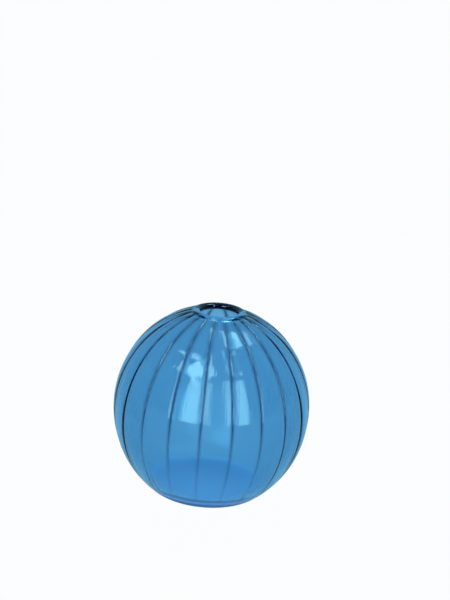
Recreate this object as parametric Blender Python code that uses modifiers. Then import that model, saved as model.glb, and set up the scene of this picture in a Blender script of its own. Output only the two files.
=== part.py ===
"""Glass bud vase: a mouth-blown ball of blue glass, fluted from foot to lip, with a small round mouth.

Metres, +Z up. The origin is the centre of the foot, on the surface that the vase stands on.
The vase is one piece of glass, so it is one object: a turned wall, whose outer side is then
drawn in along evenly spaced grooves that leave a rounded flute between each two.
"""

import math

import bpy

# The ball
HEIGHT = 0.0962  # from the table to the top of the lip
BODY_RADIUS = 0.0500  # over the flutes' crests, at the widest place
WIDEST_HEIGHT = 0.0444  # of the widest place above the table
WALL = 0.0024

# The mouth: a low round lip, as fire-polishing leaves it, with a crease around it
MOUTH_RADIUS = 0.0094  # of the clear opening
LIP_WIDTH = 0.0043  # from the mouth to the crease
LIP_RISE = 0.0016  # of the lip's top above the crease
CREASE_DEPTH = 0.0003  # of the crease under the ball's curve
CREASE_WIDTH = 0.0009  # from the lip out to the ball's curve

# The foot: a flat ring to stand on, around a shallow hollow
FOOT_RADIUS = 0.0275  # where the ball's curve would meet the table
FOOT_ROUNDING = 0.0014  # of the ring's outer edge
RING_WIDTH = 0.0050
HOLLOW_RISE = 0.0012  # of the hollow's middle above the table
BASE_THICKNESS = 0.0030  # of the glass over the hollow's middle
FLOOR_ROUNDING = 0.0060  # where the floor turns up into the wall

# The flutes
FLUTES = 20
FLUTE_DEPTH = 0.0009  # of the grooves under the crests, at the widest place
FLUTE_FULLNESS = 3.0  # 1 would make each flute a flat-sided ridge; more keeps it round to its edges
SHALLOWING = 0.5  # the power of the radius by which the grooves get shallower towards the axis

# Facets
STEPS_PER_FLUTE = 4
WALL_STEPS = 7  # from the widest place up, and again from it down
LIP_STEPS = 8
CORNER_STEPS = 3
HOLLOW_STEPS = 3
MERGE_DISTANCE = 0.00001
SHARP_ANGLE = math.radians(50)

GLASS_COLOUR = (0.06, 0.28, 0.51, 1.0)
GLASS_ROUGHNESS = 0.03
GLASS_IOR = 1.5

# What follows from the sizes above
CREASE_RADIUS = MOUTH_RADIUS + LIP_WIDTH
CREASE_HEIGHT = HEIGHT - LIP_RISE
CROWN_RISE = (CREASE_HEIGHT + CREASE_DEPTH - WIDEST_HEIGHT) / math.sqrt(1 - (CREASE_RADIUS / BODY_RADIUS) ** 2)
KEEL_DROP = WIDEST_HEIGHT / math.sqrt(1 - (FOOT_RADIUS / BODY_RADIUS) ** 2)
FLOOR_HEIGHT = HOLLOW_RISE + BASE_THICKNESS


def clear_scene():
    for obj in list(bpy.data.objects):
        bpy.data.objects.remove(obj, do_unlink=True)


def ball_point(inset, angle):
    """A point of the ball's section, this far inside its surface, at an angle from the widest place."""
    height = (CROWN_RISE if angle > 0 else KEEL_DROP) - inset
    return (BODY_RADIUS - inset) * math.cos(angle), WIDEST_HEIGHT + height * math.sin(angle)


def ball_points(inset, first, last, steps):
    return [ball_point(inset, first + (last - first) * i / steps) for i in range(steps + 1)]


def crown_angle(inset, radius):
    """Where the ball's upper half passes this distance from the axis."""
    return math.acos(radius / (BODY_RADIUS - inset))


def keel_angle(inset, height):
    """Where the ball's lower half passes this height."""
    return -math.asin((WIDEST_HEIGHT - height) / (KEEL_DROP - inset))


def corner_points(start, corner, end):
    """A smooth turn from start to end inside the corner, without start itself."""
    points = []
    for i in range(1, CORNER_STEPS + 1):
        t = i / CORNER_STEPS
        weights = ((1 - t) ** 2, 2 * t * (1 - t), t**2)
        points.append(tuple(sum(w * p[k] for w, p in zip(weights, (start, corner, end))) for k in (0, 1)))
    return points


def inside_points():
    """From the axis over the floor and up the wall, to the top of the neck."""
    edge = keel_angle(WALL, FLOOR_HEIGHT)
    corner = ball_point(WALL, edge)
    flat_end = (corner[0] - FLOOR_ROUNDING, FLOOR_HEIGHT)
    wall_start = edge + FLOOR_ROUNDING / BODY_RADIUS
    neck_corner = ball_point(WALL, crown_angle(WALL, MOUTH_RADIUS))
    neck_turn = (CREASE_HEIGHT - neck_corner[1]) / 2
    wall_end = crown_angle(WALL, MOUTH_RADIUS + neck_turn)
    return [
        (0.0, FLOOR_HEIGHT),
        (flat_end[0] / 2, FLOOR_HEIGHT),
        flat_end,
        *corner_points(flat_end, corner, ball_point(WALL, wall_start)),
        *ball_points(WALL, wall_start, 0.0, WALL_STEPS)[1:],
        *ball_points(WALL, 0.0, wall_end, WALL_STEPS)[1:],
        *corner_points(ball_point(WALL, wall_end), neck_corner, (MOUTH_RADIUS, neck_corner[1] + neck_turn)),
    ]


def lip_points():
    """From the mouth over the top of the lip and down to the crease."""
    points = []
    for i in range(LIP_STEPS + 1):
        angle = math.pi * (1 - i / LIP_STEPS)
        r = MOUTH_RADIUS + LIP_WIDTH / 2 * (1 + math.cos(angle))
        points.append((r, CREASE_HEIGHT + LIP_RISE * math.sin(angle)))
    return points


def outside_points():
    """The fluted side, from the crown down to where the foot's edge starts."""
    top = crown_angle(0.0, CREASE_RADIUS + CREASE_WIDTH)
    bottom = keel_angle(0.0, FOOT_ROUNDING)
    return ball_points(0.0, top, 0.0, WALL_STEPS) + ball_points(0.0, 0.0, bottom, WALL_STEPS)[1:]


def foot_points(start):
    """From the foot's rounded edge across the ring and the hollow to the axis."""
    ring_outer = FOOT_RADIUS - FOOT_ROUNDING
    ring_inner = ring_outer - RING_WIDTH
    points = corner_points(start, (FOOT_RADIUS, 0.0), (ring_outer, 0.0))
    for i in range(HOLLOW_STEPS + 1):
        r = ring_inner * (1 - i / HOLLOW_STEPS)
        points.append((r, HOLLOW_RISE * (1 - (r / ring_inner) ** 2)))
    return points


def turned_mesh(points, shares):
    """The profile turned about +Z, with each point's share of the flutes carried round."""
    profile = bpy.data.meshes.new("profile")
    edges = [(i, i + 1) for i in range(len(points) - 1)]
    profile.from_pydata([(r, 0.0, z) for r, z in points], edges, [])
    share = profile.attributes.new("flute_share", "FLOAT", "POINT")
    share.data.foreach_set("value", shares)
    obj = bpy.data.objects.new("profile", profile)
    bpy.context.scene.collection.objects.link(obj)

    screw = obj.modifiers.new("Turn", "SCREW")
    screw.axis = "Z"
    screw.steps = FLUTES * STEPS_PER_FLUTE
    screw.render_steps = screw.steps
    screw.use_merge_vertices = True
    screw.merge_threshold = MERGE_DISTANCE
    graph = bpy.context.evaluated_depsgraph_get()
    mesh = bpy.data.meshes.new_from_object(obj.evaluated_get(graph), depsgraph=graph)
    bpy.data.objects.remove(obj, do_unlink=True)
    return mesh


def press_flutes(mesh):
    """Draws the outer side in between the flutes' crests, one of which faces +X."""
    shares = mesh.attributes["flute_share"].data
    for vertex, share in zip(mesh.vertices, shares):
        radius = math.hypot(vertex.co.x, vertex.co.y)
        if share.value == 0.0 or radius == 0.0:
            continue
        turn = math.atan2(vertex.co.y, vertex.co.x) / math.tau * FLUTES
        from_crest = abs(turn - round(turn)) * 2
        drawn_in = FLUTE_DEPTH * share.value * from_crest**FLUTE_FULLNESS
        vertex.co.x *= 1 - drawn_in / radius
        vertex.co.y *= 1 - drawn_in / radius


def glass_material():
    material = bpy.data.materials.new("blue_glass")
    material.use_nodes = True
    shader = material.node_tree.nodes["Principled BSDF"]
    shader.inputs["Base Color"].default_value = GLASS_COLOUR
    shader.inputs["Roughness"].default_value = GLASS_ROUGHNESS
    shader.inputs["Metallic"].default_value = 0.0
    shader.inputs["IOR"].default_value = GLASS_IOR
    shader.inputs["Transmission Weight"].default_value = 1.0
    material.diffuse_color = GLASS_COLOUR
    return material


def vase_body(collection):
    """The whole vase: floor, wall, neck, lip and foot are one run of glass."""
    inside = inside_points()
    lip = lip_points()
    outside = outside_points()
    foot = foot_points(outside[-1])
    outside_shares = [(r / BODY_RADIUS) ** SHALLOWING for r, _ in outside]
    edge_shares = [outside_shares[-1] * (1 - i / CORNER_STEPS) for i in range(1, CORNER_STEPS)]
    shares = [0.0] * len(inside + lip) + outside_shares + edge_shares
    shares += [0.0] * (len(foot) - len(edge_shares))

    mesh = turned_mesh(inside + lip + outside + foot, shares)
    press_flutes(mesh)
    mesh.name = "vase_body"
    mesh.materials.append(glass_material())
    mesh.shade_smooth()
    mesh.set_sharp_from_angle(angle=SHARP_ANGLE)
    body = bpy.data.objects.new("vase_body", mesh)
    collection.objects.link(body)
    return body


def main():
    clear_scene()
    collection = bpy.data.collections.new("glass_bud_vase")
    bpy.context.scene.collection.children.link(collection)
    vase_body(collection)


main()
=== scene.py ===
"""The blue glass bud vase: its fine fluted glass, the floor, the light and the camera.

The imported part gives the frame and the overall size. The smooth glass is one closed mesh, made here by
carrying a profile round the axis, and it stands for the part's faceted solid. Metres, +Z up.
"""

import math

import bmesh
import bpy
import numpy as np
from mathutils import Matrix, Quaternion, Vector


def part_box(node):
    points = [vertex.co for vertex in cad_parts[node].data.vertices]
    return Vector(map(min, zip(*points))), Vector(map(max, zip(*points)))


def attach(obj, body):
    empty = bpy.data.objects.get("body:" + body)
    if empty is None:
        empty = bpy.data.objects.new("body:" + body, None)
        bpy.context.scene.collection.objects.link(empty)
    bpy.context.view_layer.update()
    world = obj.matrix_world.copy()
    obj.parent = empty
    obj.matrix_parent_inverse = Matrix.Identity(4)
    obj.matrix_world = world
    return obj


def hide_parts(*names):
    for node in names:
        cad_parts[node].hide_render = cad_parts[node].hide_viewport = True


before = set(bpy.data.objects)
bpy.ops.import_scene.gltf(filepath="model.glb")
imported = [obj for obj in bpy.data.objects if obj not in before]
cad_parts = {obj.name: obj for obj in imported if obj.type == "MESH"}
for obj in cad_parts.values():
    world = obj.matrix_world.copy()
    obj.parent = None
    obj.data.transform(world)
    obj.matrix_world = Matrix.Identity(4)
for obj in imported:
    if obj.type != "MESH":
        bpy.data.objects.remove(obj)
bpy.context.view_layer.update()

# The ball, from the part's own box
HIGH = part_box("vase_body")[1]
HEIGHT = HIGH[2]
BODY_RADIUS = HIGH[0]
WIDEST_HEIGHT = 0.0444
WALL = 0.0024

# The mouth: a low round lip with a crease around it
MOUTH_RADIUS = 0.0094
LIP_WIDTH = 0.0043
LIP_RISE = 0.0016
CREASE_DEPTH = 0.0003
CREASE_WIDTH = 0.0009

# The foot: a flat ring around a shallow hollow, dulled a little way up
FOOT_RADIUS = 0.0275
FOOT_ROUNDING = 0.0014
RING_WIDTH = 0.0050
HOLLOW_RISE = 0.0012
FLOOR_HEIGHT = 0.0042
FLOOR_ROUNDING = 0.0060
GROUND_FADE = 0.005

# The grooves between the flutes: a sharp line in a gentle bulge, which fades towards the foot
FLUTES = 20
GROOVE_DEPTH = 0.00035
GROOVE_WIDTH = 0.0004
GROOVE_TIP = 0.0001
FLUTE_BULGE = 0.00035
GROOVE_SHALLOWING = 0.3
GROOVE_FADE = 0.05
# Each groove gets a dark line of painted shade in the glass's colour; these set its width, which grows
# towards the top
GROOVE_SHADE_WIDTH = 0.0008
GROOVE_SHADE_SPREAD = 1.0
WANDER = 0.10
WANDER_TOWARDS = math.radians(-15)

# The mesh
CROWDING = 0.75
STEPS_PER_FLUTE = 24
FLOOR_STEPS = 6
CORNER_STEPS = 5
INNER_STEPS = 20
LIP_STEPS = 20
OUTER_STEPS = 38
RING_STEPS = 3
ON_AXIS = 1e-9

# The ball's section is an upper and a lower half ellipse that meet at the widest place
CREASE_RADIUS = MOUTH_RADIUS + LIP_WIDTH
CREASE_HEIGHT = HEIGHT - LIP_RISE
CROWN_TOP = CREASE_HEIGHT + CREASE_DEPTH
CROWN_RISE = (CROWN_TOP - WIDEST_HEIGHT) / math.sqrt(1 - (CREASE_RADIUS / BODY_RADIUS) ** 2)
KEEL_DROP = WIDEST_HEIGHT / math.sqrt(1 - (FOOT_RADIUS / BODY_RADIUS) ** 2)

# The glass
GLASS_IOR = 1.4
GLASS_TINT = (0.1, 0.64, 0.864, 1.0)
GLASS_DENSITY = 150
SURFACE_TINT = (0.66, 0.83, 0.93, 1.0)
SURFACE_ROUGHNESS = 0.0
FAR_WALL_ROUGHNESS = 0.6
# The dark navy of the painted shade lines along the grooves
GROOVE_SHADE_COLOUR = (0.002, 0.02, 0.13, 1.0)
STREAK_SCALE = 22
STREAK_STRETCH = 1.2
STREAK_DEPTH = 0.00015

# The floor and the backdrop as the camera sees them
BACKDROP = 0.985
FLOOR_ALBEDO = 0.04
FLOOR_ROUGHNESS = 0.9
FLOOR_HALF_WIDTH = 6.0
FLOOR_DROP = 0.0001

# The room as the glass shows it: darker in front, and brighter under the foot
ROOM_COLOUR = (0.265, 0.545, 0.73, 1.0)
FRONT_COLOUR = (0.05, 0.09, 0.34, 1.0)
FRONT_FROM = -0.3
FRONT_TO = 0.3
UNDER_FOOT_COLOUR = (0.36, 0.67, 0.95, 1.0)
UNDER_FOOT_FROM = 0.026
UNDER_FOOT_TO = 0.036

# The windows, which only the glass sees
WINDOW_COLOUR = (0.5, 0.95, 1.0, 1.0)
WINDOW_DISTANCE = 1.0
WINDOW_STRENGTH = 0.95

# The camera
CAMERA_AZIMUTH = math.radians(-2.3)
CAMERA_ELEVATION = math.radians(21.8)
CAMERA_ROLL = math.radians(4.79)
CAMERA_PITCH = math.radians(4.139)
CAMERA_YAW = math.radians(-0.529)
CAMERA_DISTANCE = 0.75
CAMERA_LENS = 87.7
CAMERA_SENSOR = 36
CAMERA_CLIP_START = 0.01


def ball_point(inset, angle):
    """A point of the ball's section, this far inside its surface, at an angle from the widest place."""
    height = (CROWN_RISE if angle > 0 else KEEL_DROP) - inset
    return (BODY_RADIUS - inset) * math.cos(angle), WIDEST_HEIGHT + height * math.sin(angle)


def ball_points(inset, first, last, steps):
    return [ball_point(inset, first + (last - first) * i / steps) for i in range(steps + 1)]


def crown_angle(inset, radius):
    return math.acos(radius / (BODY_RADIUS - inset))


def keel_angle(inset, height):
    return -math.asin((WIDEST_HEIGHT - height) / (KEEL_DROP - inset))


def corner_points(start, corner, end):
    """A smooth turn from start to end inside the corner, without start itself."""
    points = []
    for i in range(1, CORNER_STEPS + 1):
        t = i / CORNER_STEPS
        weights = ((1 - t) ** 2, 2 * t * (1 - t), t**2)
        points.append(tuple(sum(w * p[k] for w, p in zip(weights, (start, corner, end))) for k in (0, 1)))
    return points


def inside_points():
    """From the axis over the floor and up the wall, to the top of the neck."""
    edge = keel_angle(WALL, FLOOR_HEIGHT)
    corner = ball_point(WALL, edge)
    flat_end = (corner[0] - FLOOR_ROUNDING, FLOOR_HEIGHT)
    wall_start = edge + FLOOR_ROUNDING / BODY_RADIUS
    neck_corner = ball_point(WALL, crown_angle(WALL, MOUTH_RADIUS))
    neck_turn = (CREASE_HEIGHT - neck_corner[1]) / 2
    neck_end = (MOUTH_RADIUS, neck_corner[1] + neck_turn)
    wall_end = crown_angle(WALL, MOUTH_RADIUS + neck_turn)
    return [
        *[(flat_end[0] * i / FLOOR_STEPS, FLOOR_HEIGHT) for i in range(FLOOR_STEPS + 1)],
        *corner_points(flat_end, corner, ball_point(WALL, wall_start)),
        *ball_points(WALL, wall_start, 0.0, INNER_STEPS)[1:],
        *ball_points(WALL, 0.0, wall_end, INNER_STEPS)[1:],
        *corner_points(ball_point(WALL, wall_end), neck_corner, neck_end),
    ]


def lip_points():
    """Half an ellipse from the top of the neck over the lip to the crease."""
    points = []
    for i in range(LIP_STEPS + 1):
        angle = math.pi * (1 - i / LIP_STEPS)
        r = MOUTH_RADIUS + LIP_WIDTH / 2 * (1 + math.cos(angle))
        points.append((r, CREASE_HEIGHT + LIP_RISE * math.sin(angle)))
    return points


def outside_points():
    """Down the fluted ball, from the crease to the foot's rounding."""
    top = crown_angle(0.0, CREASE_RADIUS + CREASE_WIDTH)
    bottom = keel_angle(0.0, FOOT_ROUNDING)
    return ball_points(0.0, top, 0.0, OUTER_STEPS) + ball_points(0.0, 0.0, bottom, OUTER_STEPS)[1:]


def foot_points(start):
    """Round the foot's edge, over its ring and across the hollow to the axis."""
    ring_outer = FOOT_RADIUS - FOOT_ROUNDING
    ring_inner = ring_outer - RING_WIDTH
    points = corner_points(start, (FOOT_RADIUS, 0.0), (ring_outer, 0.0))
    points += [(ring_outer - RING_WIDTH * i / RING_STEPS, 0.0) for i in range(1, RING_STEPS + 1)]
    for i in range(1, FLOOR_STEPS + 1):
        r = ring_inner * (1 - i / FLOOR_STEPS)
        points.append((r, HOLLOW_RISE * (1 - (r / ring_inner) ** 2)))
    return points


def glass_profile():
    """The closed section's points, their normals, and 1 for each point on the fluted outside."""
    inside = inside_points()
    lip = lip_points()
    outside = outside_points()
    foot = foot_points(outside[-1])
    points = np.array(inside + lip + outside + foot)
    along = np.gradient(points, axis=0)
    normals = np.stack([-along[:, 1], along[:, 0]], axis=1)
    normals /= np.linalg.norm(normals, axis=1, keepdims=True)
    before_outside = len(inside) + len(lip)
    fluted = np.zeros(len(points))
    fluted[before_outside : before_outside + len(outside)] = 1.0
    return points, normals, fluted


def column_turns():
    """Each column's turn about the axis, counted in flutes and crowded towards the grooves."""
    turns = np.arange(FLUTES * STEPS_PER_FLUTE) / STEPS_PER_FLUTE
    return turns + CROWDING * np.sin(math.tau * turns) / math.tau


def groove_fade(r, z):
    """How much of its depth a groove has at this place on the ball."""
    return min(1.0, (z - FOOT_ROUNDING) / GROOVE_FADE) * (r / BODY_RADIUS) ** GROOVE_SHALLOWING


def inward_shift(arc, from_groove):
    """How far each column is drawn in, by its distance from the nearest groove in metres and in flutes."""
    groove = GROOVE_DEPTH * np.exp((GROOVE_TIP - np.hypot(arc, GROOVE_TIP)) / GROOVE_WIDTH)
    bulge = FLUTE_BULGE * (1 - 2 * from_groove) ** 2
    return groove + bulge


def groove_shade_width(z):
    """Half the width of a groove's line of painted shade, which grows from the widest place to the top."""
    share_up = max(0.0, (z - WIDEST_HEIGHT) / (HEIGHT - WIDEST_HEIGHT))
    return GROOVE_SHADE_WIDTH * (1 + GROOVE_SHADE_SPREAD * share_up)


def ground_share(z):
    """How dull the glass is: most where the foot stands, then less with height."""
    return math.exp(-((z / GROUND_FADE) ** 2))


def wander(angles, z):
    """The angles of a ring's columns, turned a little as in a hand-worked flute."""
    share = max(0.0, z / HEIGHT)
    swing = WANDER / FLUTES * math.tau * 4 * share * (1 - share)
    return angles + swing * np.cos(angles - WANDER_TOWARDS + math.pi / 2)


def ring_faces(starts, count):
    """Faces between each ring of columns and the next, given each one's first vertex.

    The first and the last are single points on the axis.
    """
    faces = []
    for a, b in zip(starts, starts[1:]):
        for i in range(count):
            j = (i + 1) % count
            if a == 0:
                faces.append((a, b + j, b + i))
            elif b == starts[-1]:
                faces.append((a + i, a + j, b))
            else:
                faces.append((a + i, a + j, b + j, b + i))
    return faces


def glass_mesh():
    """The whole glass as one closed mesh, with how much painted groove shade, fluting and dullness it has
    at each point.
    """
    turns = column_turns()
    angles = turns / FLUTES * math.tau
    from_groove = 0.5 - np.abs(turns - np.round(turns))
    vertices = []
    starts = []
    shares = {"crease": [], "fluted": [], "ground": []}
    for (r, z), normal, fluted in zip(*glass_profile()):
        starts.append(len(vertices))
        if r < ON_AXIS:
            vertices.append((0.0, 0.0, z))
            crease = [0.0]
        else:
            arc = from_groove * math.tau * r / FLUTES
            fade = groove_fade(r, z) * fluted
            inward = inward_shift(arc, from_groove) * fade
            radius = r - inward * normal[0]
            level = z - inward * normal[1]
            around = wander(angles, z)
            ring = np.stack([radius * np.cos(around), radius * np.sin(around), level], axis=1)
            vertices.extend(ring.tolist())
            # The crease share: how much painted shade darkens the glass along each groove
            crease = (fade * np.exp(-((arc / groove_shade_width(z)) ** 2))).tolist()
        shares["crease"].extend(crease)
        shares["fluted"].extend([fluted] * len(crease))
        shares["ground"].extend([ground_share(z)] * len(crease))

    mesh = bpy.data.meshes.new("blown_glass")
    mesh.from_pydata(vertices, [], ring_faces(starts, len(angles)))
    for name, values in shares.items():
        mesh.attributes.new(name, "FLOAT", "POINT").data.foreach_set("value", values)
    work = bmesh.new()
    work.from_mesh(mesh)
    bmesh.ops.recalc_face_normals(work, faces=work.faces)
    work.to_mesh(mesh)
    work.free()
    mesh.shade_smooth()
    return mesh


def attribute(nodes, name):
    """The value that the mesh carries under this name."""
    node = nodes.new("ShaderNodeAttribute")
    node.attribute_name = name
    return node.outputs["Fac"]


def calculated(nodes, links, operation, first, second):
    """A Math node on a socket and a second socket or number."""
    node = nodes.new("ShaderNodeMath")
    node.operation = operation
    links.new(first, node.inputs[0])
    if isinstance(second, bpy.types.NodeSocket):
        links.new(second, node.inputs[1])
    else:
        node.inputs[1].default_value = second
    return node.outputs["Value"]


def crossings(nodes, links, operation, count):
    """1 where a ray has crossed fewer, or more, than this many glass surfaces on its way."""
    path = nodes.new("ShaderNodeLightPath")
    return calculated(nodes, links, operation, path.outputs["Transmission Depth"], count)


def tinted(nodes, links, share, clear, dark):
    """A colour that goes from clear to dark by share."""
    node = nodes.new("ShaderNodeMixRGB")
    links.new(share, node.inputs["Fac"])
    node.inputs["Color1"].default_value = clear
    node.inputs["Color2"].default_value = dark
    return node.outputs["Color"]


def streaks(nodes, links, share):
    """Faint ripples that run up the glass, as normals."""
    place = nodes.new("ShaderNodeTexCoord")
    split = nodes.new("ShaderNodeSeparateXYZ")
    links.new(place.outputs["Object"], split.inputs[0])
    around = nodes.new("ShaderNodeCombineXYZ")
    links.new(split.outputs["X"], around.inputs["X"])
    links.new(split.outputs["Y"], around.inputs["Y"])
    unit = nodes.new("ShaderNodeVectorMath")
    unit.operation = "NORMALIZE"
    links.new(around.outputs[0], unit.inputs[0])
    rise = nodes.new("ShaderNodeCombineXYZ")
    links.new(calculated(nodes, links, "MULTIPLY", split.outputs["Z"], STREAK_STRETCH), rise.inputs["Z"])
    join = nodes.new("ShaderNodeVectorMath")
    join.operation = "ADD"
    links.new(unit.outputs[0], join.inputs[0])
    links.new(rise.outputs[0], join.inputs[1])
    noise = nodes.new("ShaderNodeTexNoise")
    noise.inputs["Scale"].default_value = STREAK_SCALE
    links.new(join.outputs[0], noise.inputs["Vector"])
    bump = nodes.new("ShaderNodeBump")
    bump.inputs["Distance"].default_value = STREAK_DEPTH
    links.new(share, bump.inputs["Strength"])
    links.new(noise.outputs["Fac"], bump.inputs["Height"])
    return bump.outputs["Normal"]


def glass_material():
    """Blue glass with painted shade lines in the grooves and ripples on the near wall, and a clouded far
    wall and foot.
    """
    material = bpy.data.materials.new("blue_glass")
    material.use_nodes = True
    nodes = material.node_tree.nodes
    links = material.node_tree.links
    shader = nodes["Principled BSDF"]
    shader.inputs["IOR"].default_value = GLASS_IOR
    shader.inputs["Transmission Weight"].default_value = 1.0

    first_hit = crossings(nodes, links, "LESS_THAN", 0.5)
    near_wall = crossings(nodes, links, "LESS_THAN", 1.5)
    far_wall = crossings(nodes, links, "GREATER_THAN", 1.5)
    fluted = attribute(nodes, "fluted")
    # Painted shade: the grooves' dark lines go into the base colour, only on the wall nearest the camera
    crease = calculated(nodes, links, "MULTIPLY", attribute(nodes, "crease"), near_wall)
    links.new(tinted(nodes, links, crease, SURFACE_TINT, GROOVE_SHADE_COLOUR), shader.inputs["Base Color"])

    behind = calculated(nodes, links, "MULTIPLY", fluted, far_wall)
    clouded = calculated(nodes, links, "MAXIMUM", behind, attribute(nodes, "ground"))
    rough = nodes.new("ShaderNodeMapRange")
    rough.inputs["To Min"].default_value = SURFACE_ROUGHNESS
    rough.inputs["To Max"].default_value = FAR_WALL_ROUGHNESS
    links.new(clouded, rough.inputs["Value"])
    links.new(rough.outputs["Result"], shader.inputs["Roughness"])

    rippled = calculated(nodes, links, "MULTIPLY", fluted, first_hit)
    links.new(streaks(nodes, links, rippled), shader.inputs["Normal"])

    absorb = nodes.new("ShaderNodeVolumeAbsorption")
    absorb.inputs["Color"].default_value = GLASS_TINT
    absorb.inputs["Density"].default_value = GLASS_DENSITY
    links.new(absorb.outputs["Volume"], nodes["Material Output"].inputs["Volume"])
    return material


def build_vase():
    mesh = glass_mesh()
    mesh.materials.append(glass_material())
    piece = bpy.data.objects.new("blown_glass", mesh)
    bpy.context.scene.collection.objects.link(piece)
    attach(piece, "root")
    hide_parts("vase_body")


def seen_directly(nodes, links, direct, indirect):
    """A mix of two shader outputs: one for the camera's own rays, one for what the glass shows."""
    path = nodes.new("ShaderNodeLightPath")
    mix = nodes.new("ShaderNodeMixShader")
    links.new(path.outputs["Is Camera Ray"], mix.inputs["Fac"])
    links.new(indirect, mix.inputs[1])
    links.new(direct, mix.inputs[2])
    return mix.outputs["Shader"]


def floor_glow(nodes, links):
    """What the glass shows of the floor: the room's colour, and a brighter one under the foot."""
    place = nodes.new("ShaderNodeTexCoord")
    off_axis = nodes.new("ShaderNodeVectorMath")
    off_axis.operation = "LENGTH"
    links.new(place.outputs["Object"], off_axis.inputs[0])
    beyond = nodes.new("ShaderNodeMapRange")
    beyond.inputs["From Min"].default_value = UNDER_FOOT_FROM
    beyond.inputs["From Max"].default_value = UNDER_FOOT_TO
    links.new(off_axis.outputs["Value"], beyond.inputs["Value"])
    colour = tinted(nodes, links, beyond.outputs["Result"], UNDER_FOOT_COLOUR, ROOM_COLOUR)
    glow = nodes.new("ShaderNodeEmission")
    links.new(colour, glow.inputs["Color"])
    return glow.outputs["Emission"]


def build_floor():
    s = FLOOR_HALF_WIDTH
    mesh = bpy.data.meshes.new("floor")
    mesh.from_pydata([(-s, -s, 0), (s, -s, 0), (s, s, 0), (-s, s, 0)], [], [(0, 1, 2, 3)])
    material = bpy.data.materials.new("floor")
    material.use_nodes = True
    nodes = material.node_tree.nodes
    links = material.node_tree.links
    shader = nodes["Principled BSDF"]
    shader.inputs["Base Color"].default_value = (FLOOR_ALBEDO, FLOOR_ALBEDO, FLOOR_ALBEDO, 1)
    shader.inputs["Roughness"].default_value = FLOOR_ROUGHNESS
    shader.inputs["Specular IOR Level"].default_value = 0.0
    shader.inputs["Emission Color"].default_value = (1, 1, 1, 1)
    shader.inputs["Emission Strength"].default_value = BACKDROP * (1 - FLOOR_ALBEDO / 2)
    surface = seen_directly(nodes, links, shader.outputs["BSDF"], floor_glow(nodes, links))
    links.new(surface, nodes["Material Output"].inputs["Surface"])
    mesh.materials.append(material)
    floor = bpy.data.objects.new("floor", mesh)
    floor.location.z = -FLOOR_DROP
    bpy.context.scene.collection.objects.link(floor)


def build_world():
    world = bpy.data.worlds.new("studio")
    bpy.context.scene.world = world
    world.use_nodes = True
    nodes = world.node_tree.nodes
    links = world.node_tree.links
    coords = nodes.new("ShaderNodeTexCoord")
    split = nodes.new("ShaderNodeSeparateXYZ")
    links.new(coords.outputs["Generated"], split.inputs[0])
    ramp = nodes.new("ShaderNodeMapRange")
    ramp.interpolation_type = "SMOOTHSTEP"
    ramp.inputs["From Min"].default_value = FRONT_FROM
    ramp.inputs["From Max"].default_value = FRONT_TO
    links.new(split.outputs["Y"], ramp.inputs["Value"])
    colour = tinted(nodes, links, ramp.outputs["Result"], FRONT_COLOUR, ROOM_COLOUR)
    room = nodes["Background"]
    links.new(colour, room.inputs["Color"])
    backdrop = nodes.new("ShaderNodeBackground")
    backdrop.inputs["Color"].default_value = (BACKDROP, BACKDROP, BACKDROP, 1)
    surface = seen_directly(nodes, links, backdrop.outputs["Background"], room.outputs["Background"])
    links.new(surface, nodes["World Output"].inputs["Surface"])


def straight_outline(top, bottom, height):
    """A pane's corners in degrees from its middle: its width at the top and the bottom, and its height."""
    return [
        (-bottom / 2, -height / 2),
        (bottom / 2, -height / 2),
        (top / 2, height / 2),
        (-top / 2, height / 2),
    ]


def star_outline(tips, reach, notch):
    """The corners of a star: how far its tips and its notches are from its middle, in degrees."""
    outline = []
    for i in range(2 * tips):
        angle = math.pi * i / tips
        far = reach if i % 2 == 0 else notch
        outline.append((far * math.cos(angle), far * math.sin(angle)))
    return outline


def pane_mesh(name, outline):
    """A flat pane with this outline, as triangles round its middle."""
    corners = []
    for x, y in outline:
        across = WINDOW_DISTANCE * math.tan(math.radians(x))
        up = WINDOW_DISTANCE * math.tan(math.radians(y))
        corners.append((across, up, 0))
    count = len(corners)
    faces = [(0, i + 1, (i + 1) % count + 1) for i in range(count)]
    mesh = bpy.data.meshes.new(name)
    mesh.from_pydata([(0, 0, 0), *corners], [], faces)
    return mesh


def pane_material(name, radiance):
    material = bpy.data.materials.new(name)
    material.use_nodes = True
    nodes = material.node_tree.nodes
    glow = nodes.new("ShaderNodeEmission")
    glow.inputs["Color"].default_value = WINDOW_COLOUR
    glow.inputs["Strength"].default_value = radiance * WINDOW_STRENGTH
    material.node_tree.links.new(glow.outputs["Emission"], nodes["Material Output"].inputs["Surface"])
    return material


def away_from_vase(azimuth, elevation):
    """The direction from the vase, in radians: azimuth 0 is towards the viewer's side, -Y."""
    return Vector(
        (
            math.sin(azimuth) * math.cos(elevation),
            -math.cos(azimuth) * math.cos(elevation),
            math.sin(elevation),
        )
    )


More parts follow.
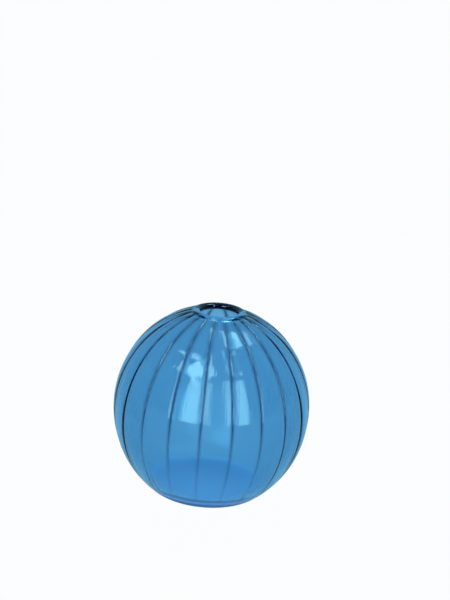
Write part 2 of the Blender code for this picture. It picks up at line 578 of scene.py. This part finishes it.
def window(name, azimuth, elevation, turn, outline, radiance):
    """A bright pane facing the vase. Its angles are in degrees, and its azimuth is from the camera's."""
    away = away_from_vase(math.radians(azimuth) + CAMERA_AZIMUTH, math.radians(elevation))
    mesh = pane_mesh(name, outline)
    mesh.materials.append(pane_material(name, radiance))
    pane = bpy.data.objects.new(name, mesh)
    pane.location = Vector((0, 0, WIDEST_HEIGHT)) + away * WINDOW_DISTANCE
    pane.rotation_mode = "QUATERNION"
    pane.rotation_quaternion = away.to_track_quat("Z", "Y") @ Quaternion((0, 0, 1), math.radians(turn))
    pane.visible_camera = False
    pane.visible_diffuse = False
    bpy.context.scene.collection.objects.link(pane)


def build_windows():
    window("window_left", -21, 18, 0, straight_outline(22, 30, 46), 6.5)
    window("window_right", 34, 20, 0, straight_outline(18, 24, 46), 6.5)
    window("sky_left", -30, 52, 10, star_outline(4, 19, 10), 10)
    window("sky_left_spike", -62, 62, 20, star_outline(2, 16, 3), 8)
    window("sky_right", 125, 67, 0, straight_outline(24, 16, 20), 8)
    window("sky_right_streak", 42, 62, 0, straight_outline(4, 4, 30), 6)


def build_camera():
    data = bpy.data.cameras.new("camera")
    data.lens = CAMERA_LENS
    data.sensor_width = CAMERA_SENSOR
    data.clip_start = CAMERA_CLIP_START
    camera = bpy.data.objects.new("camera", data)
    back = away_from_vase(CAMERA_AZIMUTH, CAMERA_ELEVATION)
    camera.location = Vector((0, 0, WIDEST_HEIGHT)) + back * CAMERA_DISTANCE
    camera.rotation_mode = "QUATERNION"
    turn = (-back).to_track_quat("-Z", "Y") @ Quaternion((0, 0, 1), CAMERA_ROLL)
    turn = turn @ Quaternion((1, 0, 0), CAMERA_PITCH) @ Quaternion((0, 1, 0), CAMERA_YAW)
    camera.rotation_quaternion = turn
    bpy.context.scene.collection.objects.link(camera)
    bpy.context.scene.camera = camera


build_vase()
build_floor()
build_world()
build_windows()
build_camera()
bpy.context.scene.view_settings.view_transform = "Standard"

bpy.context.view_layer.update()
